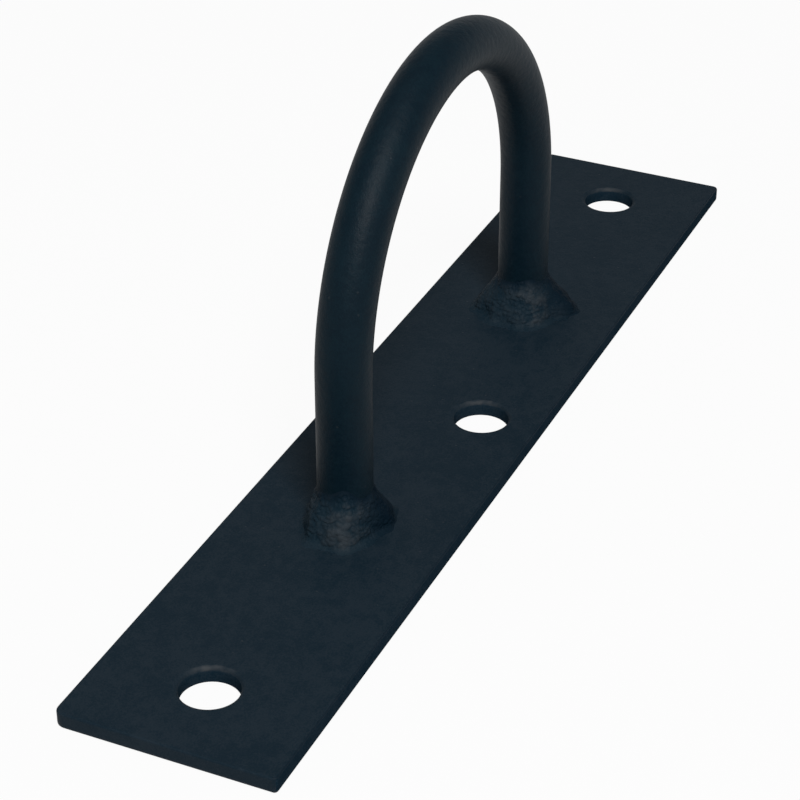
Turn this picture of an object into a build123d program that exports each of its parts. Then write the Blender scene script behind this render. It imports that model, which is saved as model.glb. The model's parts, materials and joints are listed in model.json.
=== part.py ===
import os
from math import cos, pi, radians, sin

from build123d import *

os.makedirs("parts", exist_ok=True)

# Suspension trainer anchor for a wall, a beam or a ceiling: a flat steel plate
# that carries a loop of bent round bar, welded on at its two feet.
# Millimetres. The origin is the centre of the plate's back face, +X runs along
# the plate and +Z points away from the wall, through the top of the loop.

# Mounting plate
plate_length = 276.0
plate_width = 50.8
plate_thickness = 4.0
plate_corner_radius = 0.6
plate_edge_break = 0.25

# Bolt holes, two on the centre line and one beside it, clear of the loop
hole_diameter = 13.0
hole_edge_break = 0.25
end_hole_inset = 20.0
middle_hole_offset = 10.9

# Loop bar
bar_diameter = 12.7
loop_clear_width = 93.3
loop_clear_height = 84.7

# Weld beads, laid by hand round each foot. Each is given by its lobes and the
# hollows between them: the angle round the foot, how far the bead reaches out
# over the plate there, how far it climbs the bar, and how full it is, from 0 for
# a straight slope to 1 for a rounded shoulder.
near_weld_lobes = (
    (-156.0, 4.7, 13.8, 0.1),
    (-112.0, 2.4, 9.8, 0.0),
    (-54.0, 5.7, 10.0, 0.9),
    (30.0, 4.2, 10.0, 0.5),
    (109.0, 2.9, 9.4, 0.0),
    (167.0, 5.2, 11.6, 0.0),
)
far_weld_lobes = (
    (-142.0, 5.1, 12.4, 0.1),
    (-115.0, 3.7, 10.8, 0.0),
    (-79.0, 8.4, 10.4, 0.9),
    (-10.0, 4.8, 9.6, 0.5),
    (50.0, 4.5, 9.8, 0.5),
    (114.0, 6.0, 9.6, 0.2),
    (170.0, 4.8, 11.0, 0.0),
)
weld_overrun = 0.8
weld_ripples = 9
weld_ripple_height = 0.25
weld_ripple_slant = 80.0
weld_levels = 5
points_per_ripple = 4

bar_radius = bar_diameter / 2
leg_x = (loop_clear_width + bar_diameter) / 2
bend_z = plate_thickness + loop_clear_height + bar_radius - leg_x
end_hole_spacing = plate_length - 2 * end_hole_inset


# Mounting plate: a cut length of flat bar, with its edges and holes deburred
with BuildPart() as mounting_plate:
    with BuildSketch(Plane.XY):
        RectangleRounded(plate_length, plate_width, plate_corner_radius)
    extrude(amount=plate_thickness)
    chamfer(faces().filter_by(Axis.Z).edges(), length=plate_edge_break)
    with BuildSketch(Plane.XY):
        with GridLocations(end_hole_spacing, 0, 2, 1):
            Circle(hole_diameter / 2)
        with Locations((0, -middle_hole_offset)):
            Circle(hole_diameter / 2)
    extrude(amount=plate_thickness, mode=Mode.SUBTRACT)
    hole_walls = faces().filter_by(GeomType.CYLINDER).filter_by(
        lambda wall: abs(wall.radius - hole_diameter / 2) < 0.001
    )
    chamfer(hole_walls.edges().filter_by(GeomType.CIRCLE), length=hole_edge_break)


# Loop bar: two straight legs and a half-round bend, square cut on the plate
with BuildPart() as loop_bar:
    with BuildLine(Plane.XZ) as loop_path:
        near_leg = Line((-leg_x, plate_thickness), (-leg_x, bend_z))
        bend = TangentArc(near_leg @ 1, (leg_x, bend_z), tangent=near_leg % 1)
        Line(bend @ 1, (leg_x, plate_thickness))
    with BuildSketch(Plane(origin=(-leg_x, 0, plate_thickness), z_dir=(0, 0, 1))):
        Circle(bar_radius)
    sweep(path=loop_path.wires()[0])


def weld_lobe(lobes, turn):
    """Reach, crown and fullness at an angle, eased from one lobe to the next."""
    for lobe, next_lobe in zip(lobes, lobes[1:] + lobes[:1]):
        share = ((turn - lobe[0]) % 360) / ((next_lobe[0] - lobe[0]) % 360)
        if share <= 1:
            ease = (1 - cos(pi * share)) / 2
            return [a + (b - a) * ease for a, b in zip(lobe[1:], next_lobe[1:])]


def weld_outline(lobes, height):
    """Points round a bead at a height over the plate, with its slanting ripples.

    The bead slopes in to the bar and on inside the bar's skin, so its crown
    climbs and falls with the lobes.
    """
    points = []
    point_count = weld_ripples * points_per_ripple
    for index in range(point_count):
        turn = 360 * index / point_count
        reach, crown, fullness = weld_lobe(lobes, turn)
        level = height / crown
        shoulder = (1 + cos(pi * min(level, 1))) / 2
        fall = 1 - level + fullness * (shoulder - max(1 - level, 0))
        slant = weld_ripple_slant * level
        ripple = weld_ripple_height * cos(radians(weld_ripples * turn + slant))
        radius = bar_radius + (reach + ripple) * fall
        points.append((radius * cos(radians(turn)), radius * sin(radians(turn))))
    return points


# Weld beads: a full fillet weld round each foot, open where the bar stands
with BuildPart() as weld_beads:
    for foot_x, lobes in ((-leg_x, near_weld_lobes), (leg_x, far_weld_lobes)):
        weld_top = max(lobe[2] for lobe in lobes) + weld_overrun
        for step in range(weld_levels):
            height = weld_top * step / (weld_levels - 1)
            with BuildSketch(Plane((foot_x, 0, plate_thickness + height))):
                with BuildLine():
                    Spline(*weld_outline(lobes, height), periodic=True)
                make_face()
        loft()
    with BuildSketch(Plane.XY.offset(plate_thickness)):
        with GridLocations(2 * leg_x, 0, 2, 1):
            Circle(bar_radius)
    extrude(amount=loop_clear_height / 2, mode=Mode.SUBTRACT)


mounting_plate.part.label = "mounting_plate"
loop_bar.part.label = "loop_bar"
weld_beads.part.label = "weld_beads"

export_step(mounting_plate.part, "parts/mounting_plate.step")
export_step(loop_bar.part, "parts/loop_bar.step")
export_step(weld_beads.part, "parts/weld_beads.step")
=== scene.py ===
import json
import math

import bmesh
import bpy
from mathutils import Matrix, Vector, noise


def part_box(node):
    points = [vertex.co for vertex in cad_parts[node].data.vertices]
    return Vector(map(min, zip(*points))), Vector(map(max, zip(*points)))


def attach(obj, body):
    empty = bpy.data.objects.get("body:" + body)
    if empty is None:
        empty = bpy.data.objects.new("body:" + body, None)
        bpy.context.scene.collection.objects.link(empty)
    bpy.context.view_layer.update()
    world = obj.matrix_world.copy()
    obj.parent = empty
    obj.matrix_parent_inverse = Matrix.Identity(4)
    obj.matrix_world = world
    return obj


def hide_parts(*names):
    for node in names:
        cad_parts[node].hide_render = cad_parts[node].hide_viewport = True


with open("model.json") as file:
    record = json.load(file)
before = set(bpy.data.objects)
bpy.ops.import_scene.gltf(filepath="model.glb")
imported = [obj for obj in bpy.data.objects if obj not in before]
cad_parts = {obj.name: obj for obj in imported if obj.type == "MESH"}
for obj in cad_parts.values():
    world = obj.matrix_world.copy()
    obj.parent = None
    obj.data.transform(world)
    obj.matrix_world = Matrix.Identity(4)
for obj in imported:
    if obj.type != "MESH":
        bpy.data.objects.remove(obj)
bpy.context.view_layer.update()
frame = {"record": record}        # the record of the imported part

mm = 0.001
scene = bpy.context.scene
mounts = {mount["name"]: mount for mount in frame["record"]["mounts"]}


def newPiece(bm, name, materials, replaced):
    mesh = bpy.data.meshes.new(name)
    bm.to_mesh(mesh)
    bm.free()
    for material in materials:
        mesh.materials.append(material)
    piece = bpy.data.objects.new(name, mesh)
    scene.collection.objects.link(piece)
    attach(piece, "root")
    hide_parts(replaced)
    print(name, "has", len(mesh.polygons), "faces")
    return piece


def vertsOf(geometry):
    return [item for item in geometry if isinstance(item, bmesh.types.BMVert)]


def edgesOf(geometry):
    return [item for item in geometry if isinstance(item, bmesh.types.BMEdge)]


def clamp(value):
    return max(0, min(1, value))


def nearTurn(turn, middle, spread):
    return math.exp(-(((turn - middle + 180) % 360 - 180) / spread) ** 2)


# Powder coat: one finish, sprayed over the plate, the bar and the welds together
coat = {
    "deepColor": (0.0045, 0.0125, 0.0205, 1),   # blue-black, where the coat is thick
    "paleColor": (0.0090, 0.0175, 0.0260, 1),   # greyer, where it is thin or dusty
    "wearAndHighlightColor": (0.034, 0.038, 0.042, 1),       # pale, where the coat is rubbed thin, and for painted highlights
    "paintedShadeColor": (0.0012, 0.0055, 0.0105, 1),  # painted shade, a deeper blue-black
    "cloudScale": 55,                           # patches of about 18 mm
    "cloudShare": 0.45,
    "mottleScale": 330,                         # blotches of about 3 mm
    "mottleShare": 0.55,
    "driftRange": (0.40, 0.60),                 # over which the patches go from deep to pale
    "dullRange": (0.35, 0.65),                  # and from satin to dull
    "peelScale": 620,                           # orange peel, about 1.6 mm
    "grainScale": 2600,                         # powder grain, about 0.4 mm
    "grainRange": (0.40, 0.60),
    "grainTone": 0.5,                           # how far a grain moves the colour either way
    "nibScale": 210,                            # a dust nib every 5 mm or so
    "nibSize": 0.075,
    "nibCore": 0.025,                           # the flat middle of a nib
    "nibPale": 0.25,
    "nibHeight": 0.05 * mm,
}

# How the coat lies on each surface: its tone, its sheen, its relief and how much the pale marks show
finishes = {
    "plateCoat": {"tone": (0.97, 0.89, 0.86, 1), "specular": 0.058, "roughness": (0.50, 0.60),
                  "peelHeight": 0.06 * mm, "grainHeight": 0.03 * mm, "paleMarkShare": 1.25},
    # The sides' tone is paler than the top's: painted light
    "sideCoatPaintedLight": {"tone": (1.1, 1.1, 1.1, 1), "specular": 0.003, "roughness": (0.86, 0.94),
                 "peelHeight": 0.08 * mm, "grainHeight": 0.04 * mm, "paleMarkShare": 1.7},
    # The bar's tone is far darker than the plate's: painted shade on the same coat
    "barCoatPaintedShade": {"tone": (0.15, 0.45, 0.50, 1), "specular": 0.086, "roughness": (0.51, 0.57),
                "peelHeight": 0.14 * mm, "grainHeight": 0.06 * mm, "paleMarkShare": 0.3},
    "weldCoat": {"tone": (0.85, 0.92, 0.90, 1), "specular": 0.03, "roughness": (0.50, 0.62),
                 "peelHeight": 0.20 * mm, "grainHeight": 0.06 * mm, "paleMarkShare": 0.8},
}


def coatMaterial(name, tone, specular, roughness, peelHeight, grainHeight, paleMarkShare):
    material = bpy.data.materials.new(name)
    material.use_nodes = True
    tree = material.node_tree
    shader = tree.nodes["Principled BSDF"]
    shader.inputs["Specular IOR Level"].default_value = specular

    def node(kind, **inputs):
        added = tree.nodes.new(kind)
        for key, value in inputs.items():
            added.inputs[key].default_value = value
        return added

    def sums(operation, first, second):
        added = tree.nodes.new("ShaderNodeMath")
        added.operation = operation
        for socket, value in zip(added.inputs, (first, second)):
            if isinstance(value, bpy.types.NodeSocket):
                tree.links.new(value, socket)
            else:
                socket.default_value = value
        return added.outputs[0]

    def ramp(value, fromMin, fromMax, toMin, toMax):
        added = tree.nodes.new("ShaderNodeMapRange")
        for socket, limit in zip(added.inputs[1:5], (fromMin, fromMax, toMin, toMax)):
            socket.default_value = limit
        tree.links.new(value, added.inputs["Value"])
        return added.outputs["Result"]

    def blend(amount, first, second):
        added = tree.nodes.new("ShaderNodeMix")
        added.data_type = "RGBA"
        tree.links.new(amount, added.inputs["Factor"])
        for key, value in (("A", first), ("B", second)):
            if isinstance(value, bpy.types.NodeSocket):
                tree.links.new(value, added.inputs[key])
            else:
                added.inputs[key].default_value = value
        return added.outputs["Result"]

    place = node("ShaderNodeTexCoord")
    cloud = node("ShaderNodeTexNoise", Scale=coat["cloudScale"], Detail=4, Roughness=0.55)
    mottle = node("ShaderNodeTexNoise", Scale=coat["mottleScale"], Detail=3, Roughness=0.6)
    peel = node("ShaderNodeTexNoise", Scale=coat["peelScale"], Detail=2, Roughness=0.45)
    grain = node("ShaderNodeTexNoise", Scale=coat["grainScale"], Detail=2, Roughness=0.6)
    nibs = node("ShaderNodeTexVoronoi", Scale=coat["nibScale"], Randomness=1)
    for texture in (cloud, mottle, peel, grain, nibs):
        tree.links.new(place.outputs["Object"], texture.inputs["Vector"])
    nib = ramp(nibs.outputs["Distance"], coat["nibSize"], coat["nibCore"], 0, 1)

    # Colour: blue-black that drifts to a greyer black, darker with painted shade
    # and paler on nibs, rubbed places and painted highlights
    cloudy = sums("MULTIPLY", cloud.outputs["Fac"], coat["cloudShare"])
    mottled = sums("MULTIPLY", mottle.outputs["Fac"], coat["mottleShare"])
    patches = sums("ADD", cloudy, mottled)
    drift = ramp(patches, *coat["driftRange"], 0, 1)
    grains = ramp(grain.outputs["Fac"], *coat["grainRange"], -coat["grainTone"], coat["grainTone"])
    speckled = sums("ADD", drift, grains)
    deep = [part * share for part, share in zip(coat["deepColor"], tone)]
    pale = [part * share for part, share in zip(coat["paleColor"], tone)]
    colour = blend(speckled, deep, pale)
    # Pale marks: real wear, and painted highlights carried in the same attribute
    wearAndHighlight = node("ShaderNodeAttribute")
    wearAndHighlight.attribute_name = "wearAndHighlight"
    mottledWearAndHighlight = sums("MULTIPLY", wearAndHighlight.outputs["Fac"], sums("MULTIPLY", mottle.outputs["Fac"], paleMarkShare))
    # Painted shade: the colour is blended to the painted shade colour where the attribute says so
    paintedShade = node("ShaderNodeAttribute")
    paintedShade.attribute_name = "paintedShade"
    shaded = blend(paintedShade.outputs["Fac"], colour, coat["paintedShadeColor"])
    paleWearAndHighlight = sums("MAXIMUM", mottledWearAndHighlight, sums("MULTIPLY", nib, coat["nibPale"]))
    tree.links.new(blend(paleWearAndHighlight, shaded, coat["wearAndHighlightColor"]), shader.inputs["Base Color"])

    # Roughness: satin, duller in the cloudy patches
    tree.links.new(ramp(patches, *coat["dullRange"], *roughness), shader.inputs["Roughness"])

    # Relief: orange peel, then the powder's grain, then the nibs
    relief = None
    layers = (
        (peel.outputs["Fac"], peelHeight),
        (grain.outputs["Fac"], grainHeight),
        (nib, coat["nibHeight"]),
    )
    for height, depth in layers:
        bump = node("ShaderNodeBump", Strength=1.0, Distance=depth)
        tree.links.new(height, bump.inputs["Height"])
        if relief:
            tree.links.new(relief, bump.inputs["Normal"])
        relief = bump.outputs["Normal"]
    tree.links.new(relief, shader.inputs["Normal"])
    return material


coats = {name: coatMaterial(name, **finish) for name, finish in finishes.items()}
print("coat materials made")


# Mounting plate: flat bar with small corners, broken edges and three drilled holes.
# Each corner is given by its side in X, its side in Y and its radius.
plate = {
    "corners": ((-1, 1, 2.2 * mm), (-1, -1, 1.0 * mm), (1, 1, 1.0 * mm), (1, -1, 1.4 * mm)),
    "cornerSteps": 6,
    "edgeRound": 0.5 * mm,
    "footRound": 0.85 * mm,
    "rimRound": 1.1 * mm,       # the top rim of each hole, softened before it was coated
    "rimFoot": 0.4 * mm,
    "roundSteps": 4,
    "holeSteps": 96,
    "holeReach": 1.2,           # what is nearer than this many radii belongs to a hole
    "rimHighlightTurn": 26,             # painted highlight on the far side of each top rim, which faces the key light
    "rimHighlightSpread": 38,
    "rimHighlightShare": 0.9,
    "rimHighlightPatch": 1.2 * mm,
    "edgePaintedShade": 0.5,           # painted shade along the top edge
}


def makePlate():
    low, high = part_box("mounting_plate")
    size = high - low
    endHoles = mounts["end_holes"]["dims"]
    holeRadius = endHoles["hole_r_mm"] * mm
    reach = endHoles["spacing_x_mm"] * mm / 2
    centres = [(-reach, 0), (reach, 0), tuple(mounts["middle_hole"]["pos_m"][:2])]

    bm = bmesh.new()
    bmesh.ops.create_grid(bm, x_segments=1, y_segments=1, size=0.5)
    bmesh.ops.scale(bm, vec=(size.x, size.y, 1), verts=bm.verts)
    for sideX, sideY, radius in plate["corners"]:
        corner = [vert for vert in bm.verts if vert.co.x * sideX > 0 and vert.co.y * sideY > 0]
        bmesh.ops.bevel(bm, geom=corner, affect="VERTICES", offset=radius,
                        segments=plate["cornerSteps"], profile=0.5, material=-1)
    bmesh.ops.delete(bm, geom=bm.faces[:], context="FACES_ONLY")
    for x, y in centres:
        bmesh.ops.create_circle(bm, cap_ends=False, segments=plate["holeSteps"], radius=holeRadius,
                                matrix=Matrix.Translation((x, y, 0)))
    bmesh.ops.triangle_fill(bm, edges=bm.edges[:], use_beauty=True, use_dissolve=False)
    bmesh.ops.recalc_face_normals(bm, faces=bm.faces)
    top = bmesh.ops.extrude_face_region(bm, geom=bm.faces[:], use_keep_orig=True)["geom"]
    bmesh.ops.translate(bm, vec=(0, 0, size.z), verts=vertsOf(top))
    bmesh.ops.recalc_face_normals(bm, faces=bm.faces)

    def atHole(point):
        reach = holeRadius * plate["holeReach"]
        return any((point.xy - Vector(centre)).length < reach for centre in centres)

    folds = [edge for edge in bm.edges if len(edge.link_faces) == 2]
    square = [edge for edge in folds if edge.calc_face_angle(0) > math.pi / 3]
    level = [edge for edge in square if abs(edge.verts[0].co.z - edge.verts[1].co.z) < 0.1 * mm]
    rims = [edge for edge in level if atHole(edge.verts[0].co)]
    outline = [edge for edge in level if not atHole(edge.verts[0].co)]
    upper = [edge for edge in outline if edge.verts[0].co.z > size.z / 2]
    lower = [edge for edge in outline if edge.verts[0].co.z < size.z / 2]
    upperRims = [edge for edge in rims if edge.verts[0].co.z > size.z / 2]
    lowerRims = [edge for edge in rims if edge.verts[0].co.z < size.z / 2]
    rounding = ((upper, plate["edgeRound"]), (lower, plate["footRound"]),
                (upperRims, plate["rimRound"]), (lowerRims, plate["rimFoot"]))
    for edges, offset in rounding:
        bmesh.ops.bevel(bm, geom=edges, affect="EDGES", offset=offset, segments=plate["roundSteps"],
                        profile=0.5, material=-1)

    def onRound(depth, radius):     # within a rounding, but not on the two lines where it ends
        return float(0.03 < depth / radius < 0.8)

    wearAndHighlight = bm.verts.layers.float.new("wearAndHighlight")
    paintedShade = bm.verts.layers.float.new("paintedShade")
    for vert in bm.verts:
        depth = size.z - vert.co.z
        if atHole(vert.co):
            arm = min((vert.co.xy - Vector(centre) for centre in centres), key=lambda arm: arm.length)
            turn = math.degrees(math.atan2(arm.y, arm.x))
            # Painted highlight, in patches, on the far side of the top rim
            patch = plate["rimHighlightShare"] + noise.noise(vert.co / plate["rimHighlightPatch"])
            paleWearAndHighlight = clamp(nearTurn(turn, plate["rimHighlightTurn"], plate["rimHighlightSpread"]) * patch)
            vert[wearAndHighlight] = paleWearAndHighlight * onRound(depth, plate["rimRound"])
        # On the long sides: painted light as a pale strip on the bottom rounding, and painted shade
        # along the top edge
        elif abs(vert.co.y) > size.y / 2 - plate["footRound"]:
            vert[wearAndHighlight] = onRound(vert.co.z, plate["footRound"])
            vert[paintedShade] = plate["edgePaintedShade"] * onRound(depth, plate["edgeRound"])
    for face in bm.faces:
        facing = [abs(part) for part in face.normal]
        face.smooth = max(facing) < 0.9999      # all but the flats
        upright, onLongSide = facing[2] < 0.3, facing[1] > 0.7
        # The long sides and the hole walls take the side coat, with its painted light
        face.material_index = int(upright and (onLongSide or atHole(face.calc_center_median())))
    return newPiece(bm, "coatedPlate", (coats["plateCoat"], coats["sideCoatPaintedLight"]), "mounting_plate")


makePlate()


# Loop: round bar bent to a U, with its two legs standing on the plate
bar = {
    "roundSteps": 96,
    "legStep": 1.0 * mm,
    "bendSteps": 170,
}


def makeLoop():
    low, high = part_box("loop_bar")
    radius = high.y
    legX = high.x - radius
    bendZ = high.z - radius - legX
    rise = bendZ - low.z
    legSteps = round(rise / bar["legStep"])

    bm = bmesh.new()
    foot = bmesh.ops.create_circle(bm, cap_ends=False, segments=bar["roundSteps"], radius=radius,
                                   matrix=Matrix.Translation((-legX, 0, low.z)))
    ring = list({edge for vert in foot["verts"] for edge in vert.link_edges})
    bmesh.ops.contextual_create(bm, geom=ring)

    def pushRing(ring, step):
        pushed = bmesh.ops.extrude_edge_only(bm, edges=ring)["geom"]
        bmesh.ops.translate(bm, vec=(0, 0, step), verts=vertsOf(pushed))
        return edgesOf(pushed)

    for step in range(legSteps):
        ring = pushRing(ring, rise / legSteps)
    turned = bmesh.ops.spin(bm, geom=ring, cent=(0, 0, bendZ), axis=(0, 1, 0), angle=math.pi,
                            steps=bar["bendSteps"], use_merge=False, use_duplicate=False)
    ring = edgesOf(turned["geom_last"])
    for step in range(legSteps):
        ring = pushRing(ring, -rise / legSteps)
    bmesh.ops.contextual_create(bm, geom=ring)
    bmesh.ops.remove_doubles(bm, verts=bm.verts, dist=0.001 * mm)
    bmesh.ops.recalc_face_normals(bm, faces=bm.faces)
    for face in bm.faces:
        face.smooth = len(face.verts) == 4      # all but the two cut ends
    return newPiece(bm, "coatedLoop", (coats["barCoatPaintedShade"],), "loop_bar")


makeLoop()


# Welds: a hand-laid fillet round each foot. Each lobe is an angle round the foot, a
# reach over the plate and a crown up the bar, in millimetres, and a fullness, from
# 0 for a straight slope to 1 for a rounded shoulder. They are close to the solids' own.
weld = {
    "nearLobes": ((-156, 5.4, 12.6, 0.1), (-112, 2.6, 9.4, 0), (-54, 5.0, 9.8, 0.8),
                  (30, 4.2, 10.0, 0.5), (109, 2.9, 9.4, 0), (167, 5.6, 10.8, 0)),
    "farLobes": ((-142, 5.6, 11.4, 0.1), (-115, 4.0, 10.0, 0), (-79, 7.2, 10.0, 0.8),
                 (-10, 4.8, 9.6, 0.5), (50, 4.5, 9.8, 0.5), (114, 5.8, 9.4, 0.2),
                 (170, 5.0, 10.2, 0)),
    "ripples": 9,
    "rippleHeight": 0.25 * mm,
    "rippleSlant": 80,
    "overrun": 1.06,            # the bead ends a little inside the bar's skin
    "core": 0.6 * mm,           # how deep its inner wall stands in the bar
    "roundSteps": 288,
    "riseSteps": 60,
    "bulge": 0.2 * mm,
    "toeHeight": 1.2 * mm,      # the foot of the bead eases out on to the plate
    "toeFlare": 1.2 * mm,
    "toeCurve": 3,
    "toeShare": 0.8,            # and does so unevenly
    "toePatch": 3.2 * mm,
    # painted shade at the toe, evening out its brighter lit slope
    "toePaintedShade": 0.15,
    "lump": 0.42 * mm,
    "lumpSize": 5 * mm,
    "knob": 0.30 * mm,
    "knobSize": 2.2 * mm,
    "crust": 0.52 * mm,         # scabs of slag and spatter under the coat
    "crustSize": 1.25 * mm,
    "crustSlope": 0.4,
    "wrinkle": 0.12 * mm,
    "wrinklePitch": 1.3 * mm,
    "wrinkleTop": 0.6,
    "drift": 1.1,               # how many pitches the wrinkles wander
    "driftSize": 3 * mm,
    "patchShare": 0.6,          # the wrinkles come and go in patches
    "patchContrast": 2.2,
    "patchSize": 4 * mm,
    "patchPlace": (7, 3, 1),
    "skinFade": (14, 1.04, 6),  # all of it dies away at the foot and at the crown
    "paleMarkShare": 0.25,           # thin coat on what stands proud
    "proudLevel": 0.45,
    "paintedHighlightTurns": (-150, -134),    # painted highlight on the facet of each bead that faces the key light
    "paintedHighlightSpread": 26,
    "paintedHighlightFade": (8, 0.95, 5),
    "paintedHighlightShare": 1.35,
    "paintedShadeTurns": (-74, -70),      # painted shade on the full lobe of each bead, turned away from the key light
    "paintedShadeSpread": 40,
    "paintedShadeFoot": 0.8,
    "crownPaintedShade": (0.72, 3.5),      # painted shade where the bead meets the bar, towards the bar's darker tone
}


def fadeEnds(level, footSlope, end, crownSlope):
    return clamp(min(level * footSlope, (end - level) * crownSlope))


def weldLobe(lobes, turn):
    for lobe, nextLobe in zip(lobes, lobes[1:] + lobes[:1]):
        share = ((turn - lobe[0]) % 360) / ((nextLobe[0] - lobe[0]) % 360)
        if share <= 1:
            ease = (1 - math.cos(math.pi * share)) / 2
            reach, crown, fullness = [a + (b - a) * ease for a, b in zip(lobe[1:], nextLobe[1:])]
            return reach * mm, crown * mm, fullness


def weldRadius(barRadius, reach, fullness, turn, level):
    shoulder = (1 + math.cos(math.pi * min(level, 1))) / 2
    fall = 1 - level + fullness * (shoulder - max(1 - level, 0))
    phase = math.radians(weld["ripples"] * turn + weld["rippleSlant"] * level)
    ripple = weld["rippleHeight"] * math.cos(phase)
    bulge = weld["bulge"] * 4 * level * (1 - level)     # full height half-way up
    return barRadius + (reach + ripple) * fall + bulge


def weldSkin(spot, height, level):
    lump = noise.noise(spot / weld["lumpSize"]) * weld["lump"]
    knob = noise.noise(spot / weld["knobSize"]) * weld["knob"]
    nearest, second = noise.voronoi(spot / weld["crustSize"])[0][:2]
    crust = (min(second - nearest, weld["crustSlope"]) - weld["crustSlope"] / 2) * weld["crust"]
    drift = noise.noise(spot / weld["driftSize"]) * weld["drift"]
    cusp = weld["wrinkleTop"] - abs(math.sin(math.pi * (height / weld["wrinklePitch"] + drift)))
    mottle = noise.noise(spot / weld["patchSize"] + Vector(weld["patchPlace"]))
    patch = clamp(weld["patchShare"] + weld["patchContrast"] * mottle)
    fade = fadeEnds(level, *weld["skinFade"])
    return (lump + knob + crust + cusp * patch * weld["wrinkle"]) * fade


def makeWelds():
    low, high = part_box("loop_bar")
    barRadius = high.y
    legX = high.x - barRadius
    core = barRadius - weld["core"]
    bm = bmesh.new()
    wearAndHighlight = bm.verts.layers.float.new("wearAndHighlight")
    paintedShade = bm.verts.layers.float.new("paintedShade")
    beadLobes = (weld["nearLobes"], weld["farLobes"])
    feet = zip((-legX, legX), beadLobes, weld["paintedHighlightTurns"], weld["paintedShadeTurns"])
    for footX, lobes, facetHighlightTurn, lobeShadeTurn in feet:
        start = len(bm.verts)
        count = weld["riseSteps"]
        # A plain collar first, 1 high, whose height is then the share of the crown
        outer = [(footX + barRadius, 0, low.z + step / count) for step in range(count + 1)]
        inner = [(footX + core, 0, low.z + 1), (footX + core, 0, low.z)]
        profile = [bm.verts.new(corner) for corner in outer + inner]
        edges = [bm.edges.new(pair) for pair in zip(profile, profile[1:] + profile[:1])]
        bmesh.ops.spin(bm, geom=profile + edges, cent=(footX, 0, 0), axis=(0, 0, 1), angle=2 * math.pi,
                       steps=weld["roundSteps"], use_merge=True, use_duplicate=False)
        bm.verts.ensure_lookup_table()
        for vert in bm.verts[start:]:
            arm = Vector((vert.co.x - footX, vert.co.y))
            turn = math.degrees(math.atan2(arm.y, arm.x))
            reach, crown, fullness = weldLobe(lobes, turn)
            level = (vert.co.z - low.z) * weld["overrun"]
            height = crown * level
            vert.co.z = low.z + height
            if arm.length < (core + barRadius) / 2:
                continue
            radius = weldRadius(barRadius, reach, fullness, turn, level)
            arm *= radius / arm.length
            spot = Vector((footX + arm.x, arm.y, vert.co.z))
            skin = weldSkin(spot, height, level)
            toe = max(0, 1 - height / weld["toeHeight"])
            spread = weld["toeShare"] + noise.noise(spot / weld["toePatch"])
            flare = weld["toeFlare"] * spread * toe ** weld["toeCurve"]
            arm *= (radius + skin + flare) / radius
            vert.co.x, vert.co.y = footX + arm.x, arm.y
            # Painted highlight on the facet that faces the key light
            facetHighlight = nearTurn(turn, facetHighlightTurn, weld["paintedHighlightSpread"])
            facetHighlight *= fadeEnds(level, *weld["paintedHighlightFade"])
            # Painted shade on the lobe turned away from the key light
            lobeShade = nearTurn(turn, lobeShadeTurn, weld["paintedShadeSpread"])
            lobeShade *= min(1, weld["paintedShadeFoot"] + level)
            # Paler where the bead stands proud and its coat is thin, plus the painted highlight; none
            # in the painted shade
            proud = skin / weld["lump"] + weld["proudLevel"]
            vert[wearAndHighlight] = clamp(proud * (weld["paleMarkShare"] + weld["paintedHighlightShare"] * facetHighlight) * (1 - lobeShade))
            # Painted shade: on the turned-away lobe, at the toe and towards the crown
            start, slope = weld["crownPaintedShade"]
            vert[paintedShade] = max(lobeShade, weld["toePaintedShade"] * toe, clamp((level - start) * slope))
    bmesh.ops.recalc_face_normals(bm, faces=bm.faces)
    for face in bm.faces:
        face.smooth = True
    for edge in bm.edges:       # sharp all round the underside
        edge.smooth = max(vert.co.z for vert in edge.verts) > low.z + 0.001 * mm
    return newPiece(bm, "coatedWelds", (coats["weldCoat"],), "weld_beads")


makeWelds()


# Studio: pale floor, a soft key beside the camera, a weak top light and a dim room
# that is paler near the horizon
studio = {
    "floorRadius": 12,
    "floorDrop": 0.02 * mm,
    "floorColor": (0.45, 0.45, 0.45, 1),
    "floorGlow": 0.94,
    "roomColor": (1, 1, 1, 1),
    "roomLow": 0.48,
    "roomHigh": 0.09,
    "roomFade": (0.30, 0.66),
    "backdropColor": (0.97, 0.97, 0.97, 1),
    "backdropFade": (0.19, 0.22),
    "keyPlace": (-0.766, -0.532, 1.24),
    "keySize": 0.5,
    "keyPower": 29,
    "topPlace": (0.1, 0.3, 1.5),
    "topSize": 1.2,
    "topPower": 3,
}


def seenRays(tree):         # 1 for what the camera sees, also in a reflection or through glass
    rays = tree.nodes.new("ShaderNodeLightPath")
    seen = tree.nodes.new("ShaderNodeMath")
    seen.operation = "ADD"
    tree.links.new(rays.outputs["Is Camera Ray"], seen.inputs[0])
    tree.links.new(rays.outputs["Is Glossy Ray"], seen.inputs[1])
    through = tree.nodes.new("ShaderNodeMath")
    through.operation = "ADD"
    through.use_clamp = True
    tree.links.new(seen.outputs[0], through.inputs[0])
    tree.links.new(rays.outputs["Is Transmission Ray"], through.inputs[1])
    return through.outputs[0]


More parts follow.
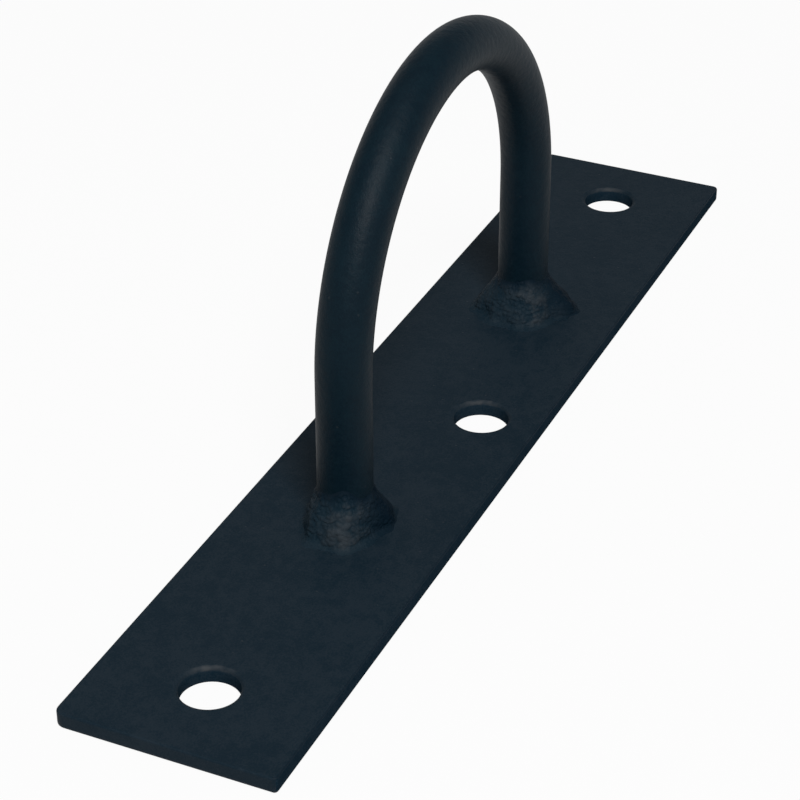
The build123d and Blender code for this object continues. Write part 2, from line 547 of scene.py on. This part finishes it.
def makeFloor():
    bm = bmesh.new()
    bmesh.ops.create_circle(bm, cap_ends=True, segments=64, radius=studio["floorRadius"])
    mesh = bpy.data.meshes.new("studioFloor")
    bm.to_mesh(mesh)
    bm.free()
    floor = bpy.data.objects.new("studioFloor", mesh)
    floor.location.z = -studio["floorDrop"]
    scene.collection.objects.link(floor)
    material = bpy.data.materials.new("floorPaper")
    material.use_nodes = True
    tree = material.node_tree
    tree.nodes.clear()
    output = tree.nodes.new("ShaderNodeOutputMaterial")
    paper = tree.nodes.new("ShaderNodeBsdfDiffuse")
    paper.inputs["Color"].default_value = studio["floorColor"]
    glow = tree.nodes.new("ShaderNodeEmission")
    glow.inputs["Strength"].default_value = 1
    share = tree.nodes.new("ShaderNodeMath")
    share.operation = "MULTIPLY"
    share.inputs[1].default_value = studio["floorGlow"]
    tree.links.new(seenRays(tree), share.inputs[0])
    mix = tree.nodes.new("ShaderNodeMixShader")
    tree.links.new(share.outputs[0], mix.inputs["Fac"])
    tree.links.new(paper.outputs[0], mix.inputs[1])
    tree.links.new(glow.outputs[0], mix.inputs[2])
    tree.links.new(mix.outputs[0], output.inputs["Surface"])
    mesh.materials.append(material)


def makeRoom():
    world = bpy.data.worlds.new("studioRoom")
    scene.world = world
    world.use_nodes = True
    tree = world.node_tree
    place = tree.nodes.new("ShaderNodeTexCoord")
    split = tree.nodes.new("ShaderNodeSeparateXYZ")
    tree.links.new(place.outputs["Generated"], split.inputs[0])

    def fading(fade, low, high):
        added = tree.nodes.new("ShaderNodeMapRange")
        added.interpolation_type = "SMOOTHSTEP"
        for socket, value in zip(added.inputs[1:5], (*fade, low, high)):
            socket.default_value = value
        tree.links.new(split.outputs["Z"], added.inputs["Value"])
        return added.outputs["Result"]

    backdrop = tree.nodes["Background"]
    backdrop.inputs["Color"].default_value = studio["roomColor"]
    dim = fading(studio["roomFade"], studio["roomLow"], studio["roomHigh"])
    tree.links.new(dim, backdrop.inputs["Strength"])

    # Seen past the floor's rim, the backdrop is as white as the floor
    white = tree.nodes.new("ShaderNodeBackground")
    white.inputs["Color"].default_value = studio["backdropColor"]
    share = tree.nodes.new("ShaderNodeMath")
    share.operation = "MULTIPLY"
    tree.links.new(seenRays(tree), share.inputs[0])
    tree.links.new(fading(studio["backdropFade"], 1, 0), share.inputs[1])
    mix = tree.nodes.new("ShaderNodeMixShader")
    tree.links.new(share.outputs[0], mix.inputs["Fac"])
    tree.links.new(backdrop.outputs[0], mix.inputs[1])
    tree.links.new(white.outputs[0], mix.inputs[2])
    tree.links.new(mix.outputs[0], tree.nodes["World Output"].inputs["Surface"])


def softbox(name, place, size, power):
    light = bpy.data.lights.new(name, "AREA")
    light.shape = "SQUARE"
    light.size = size
    light.energy = power
    lamp = bpy.data.objects.new(name, light)
    lamp.location = place
    lamp.rotation_euler = (-Vector(place)).to_track_quat("-Z", "Y").to_euler()
    scene.collection.objects.link(lamp)


makeFloor()
makeRoom()
softbox("keyLight", studio["keyPlace"], studio["keySize"], studio["keyPower"])
softbox("topLight", studio["topPlace"], studio["topSize"], studio["topPower"])


# Camera: the photograph's viewing angle
shot = {
    "azimuth": -65.66,
    "elevation": 32.26,
    "distance": 548.4 * mm,
    "target": (-40.1 * mm, -7.6 * mm, 30.8 * mm),
    "lens": 110.93,
    "sensor": 36,
    "clip": (0.01, 50),
}


def makeCamera():
    turn, tilt = math.radians(shot["azimuth"]), math.radians(shot["elevation"])
    back = Vector((math.sin(turn) * math.cos(tilt), -math.cos(turn) * math.cos(tilt), math.sin(tilt)))
    data = bpy.data.cameras.new("shotCamera")
    data.sensor_width = shot["sensor"]
    data.lens = shot["lens"]
    data.clip_start, data.clip_end = shot["clip"]
    camera = bpy.data.objects.new("shotCamera", data)
    camera.location = Vector(shot["target"]) + back * shot["distance"]
    camera.rotation_euler = back.to_track_quat("Z", "Y").to_euler()
    scene.collection.objects.link(camera)
    scene.camera = camera


makeCamera()
scene.view_settings.view_transform = "Standard"
